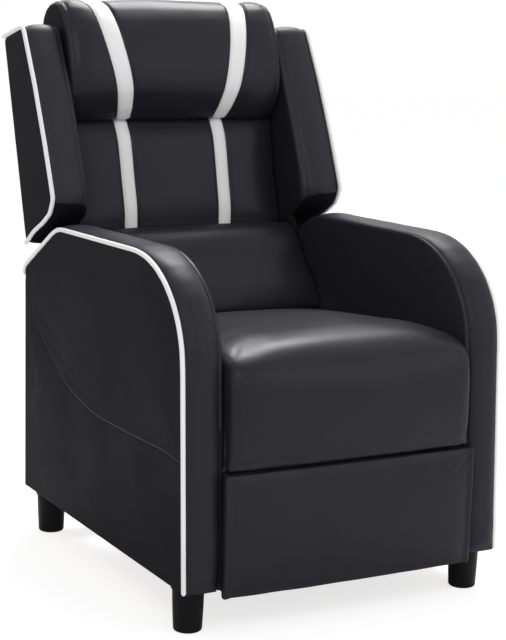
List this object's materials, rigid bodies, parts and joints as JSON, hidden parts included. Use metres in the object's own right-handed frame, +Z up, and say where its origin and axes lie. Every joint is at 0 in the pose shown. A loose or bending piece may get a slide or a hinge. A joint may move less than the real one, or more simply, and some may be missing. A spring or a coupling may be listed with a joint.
{
  "type": "gaming recliner",
  "caption": "High-backed push-back recliner with padded arms, wings, a lumbar roll, a headrest bolster and a footrest that folds out on scissor links.",
  "frame": {"origin": "on the floor, under the middle of the chair with its footrest folded and its back up", "axes": "+Z up, -Y the way a seated person faces, +X to the right of someone who faces the chair"},
  "size_m": [0.62, 0.8595, 1.0158],
  "materials": {
    "black_leather": "semi-matte imitation leather, softly creased",
    "side_leather": "flat semi-matte imitation leather",
    "white_piping": "semi-matte white imitation leather",
    "plywood": "raw",
    "steel_plate": "black powder coat",
    "zinc_pin": "zinc plated",
    "black_plastic": "moulded, satin",
    "rear_fabric": "plain black cloth"
  },
  "bodies": {
    "base": {"arm_band_left": "black_leather", "arm_band_right": "black_leather", "arm_frame_left": "plywood", "arm_frame_right": "plywood", "arm_inner_panel_left": "black_leather", "arm_inner_panel_right": "black_leather", "arm_outer_panel_left": "side_leather", "arm_outer_panel_right": "side_leather", "arm_piping_left": "white_piping", "arm_piping_right": "white_piping", "base_rail_left": "steel_plate", "base_rail_right": "steel_plate", "front_stretcher": "plywood", "leg_front_left": "black_plastic", "leg_front_right": "black_plastic", "leg_rear_left": "black_plastic", "leg_rear_right": "black_plastic", "rear_stretcher": "plywood", "swing_shaft_front": "zinc_pin", "swing_shaft_rear": "zinc_pin"},
    "swing_front": {"cross_tube": "steel_plate", "swing_link_front_left": "steel_plate", "swing_link_front_right": "steel_plate"},
    "swing_rear": {"swing_link_rear_left": "steel_plate", "swing_link_rear_right": "steel_plate"},
    "seat": {"back_hinge_shaft": "zinc_pin", "fold_shaft_rear": "zinc_pin", "seat_cushion": "black_leather", "seat_frame": "plywood", "seat_shaft_front": "zinc_pin", "seat_shaft_rear": "zinc_pin", "seat_side_plate_left": "steel_plate", "seat_side_plate_right": "steel_plate", "seat_webbing": "rear_fabric"},
    "fold_front": {"fold_link_front_left": "steel_plate", "fold_link_front_right": "steel_plate"},
    "fold_rear": {"fold_link_rear_left": "steel_plate", "fold_link_rear_right": "steel_plate", "fold_shaft_lower": "zinc_pin"},
    "carrier_upper": {"carrier_link_upper_left": "steel_plate", "carrier_link_upper_right": "steel_plate"},
    "carrier_lower": {"carrier_link_lower_left": "steel_plate", "carrier_link_lower_right": "steel_plate"},
    "footrest": {"footrest_board": "plywood", "footrest_bracket_left": "steel_plate", "footrest_bracket_right": "steel_plate", "footrest_pad": "black_leather", "footrest_shaft_lower": "zinc_pin", "footrest_shaft_upper": "zinc_pin"},
    "back": {"back_bracket_left": "steel_plate", "back_bracket_right": "steel_plate", "back_cover": "rear_fabric", "back_frame": "plywood", "back_panel": "black_leather", "headrest_bolster": "black_leather", "lumbar_roll": "black_leather", "wing_left": "black_leather", "wing_piping_left": "white_piping", "wing_piping_right": "white_piping", "wing_right": "black_leather"}
  },
  "joints": [
    {"name": "footrest_opening", "type": "hinge", "parent": "base", "child": "swing_front", "pos_m": [0, -0.046, 0.118], "axis": [1, 0, 0], "range_deg": [0, 18]},
    {"name": "seat_levelling", "type": "hinge", "parent": "swing_front", "child": "seat", "pos_m": [0, 0.014, 0.22192], "axis": [1, 0, 0], "range_deg": [-18, 0]},
    {"name": "rear_swing", "type": "hinge", "parent": "base", "child": "swing_rear", "pos_m": [0, 0.114, 0.118], "axis": [1, 0, 0], "range_deg": [0, 18]},
    {"name": "fold_rear_turn", "type": "hinge", "parent": "seat", "child": "fold_rear", "pos_m": [0, -0.2, 0.262], "axis": [-1, 0, 0], "range_deg": [0, 90]},
    {"name": "fold_front_turn", "type": "hinge", "parent": "seat", "child": "fold_front", "pos_m": [0, -0.231, 0.23], "axis": [-1, 0, 0], "range_deg": [0, 95]},
    {"name": "carrier_upper_turn", "type": "hinge", "parent": "fold_rear", "child": "carrier_upper", "pos_m": [0, -0.201, 0.111], "axis": [1, 0, 0], "range_deg": [0, 108]},
    {"name": "carrier_lower_turn", "type": "hinge", "parent": "fold_rear", "child": "carrier_lower", "pos_m": [0, -0.201, 0.073], "axis": [1, 0, 0], "range_deg": [0, 108]},
    {"name": "footrest_turn", "type": "hinge", "parent": "carrier_upper", "child": "footrest", "pos_m": [0, -0.37, 0.236], "axis": [-1, 0, 0], "range_deg": [0, 108]},
    {"name": "back_recline", "type": "hinge", "parent": "seat", "child": "back", "pos_m": [0, 0.134, 0.33], "axis": [-1, 0, 0], "range_deg": [0, 45]}
  ],
  "couplings": [
    {"joint": "seat_levelling", "follows": "footrest_opening", "ratio": -1},
    {"joint": "rear_swing", "follows": "footrest_opening", "ratio": 1},
    {"joint": "fold_rear_turn", "follows": "footrest_opening", "ratio": 5},
    {"joint": "fold_front_turn", "follows": "footrest_opening", "ratio": 5.2777},
    {"joint": "carrier_upper_turn", "follows": "footrest_opening", "ratio": 6},
    {"joint": "carrier_lower_turn", "follows": "footrest_opening", "ratio": 6},
    {"joint": "footrest_turn", "follows": "footrest_opening", "ratio": 6}
  ]
}
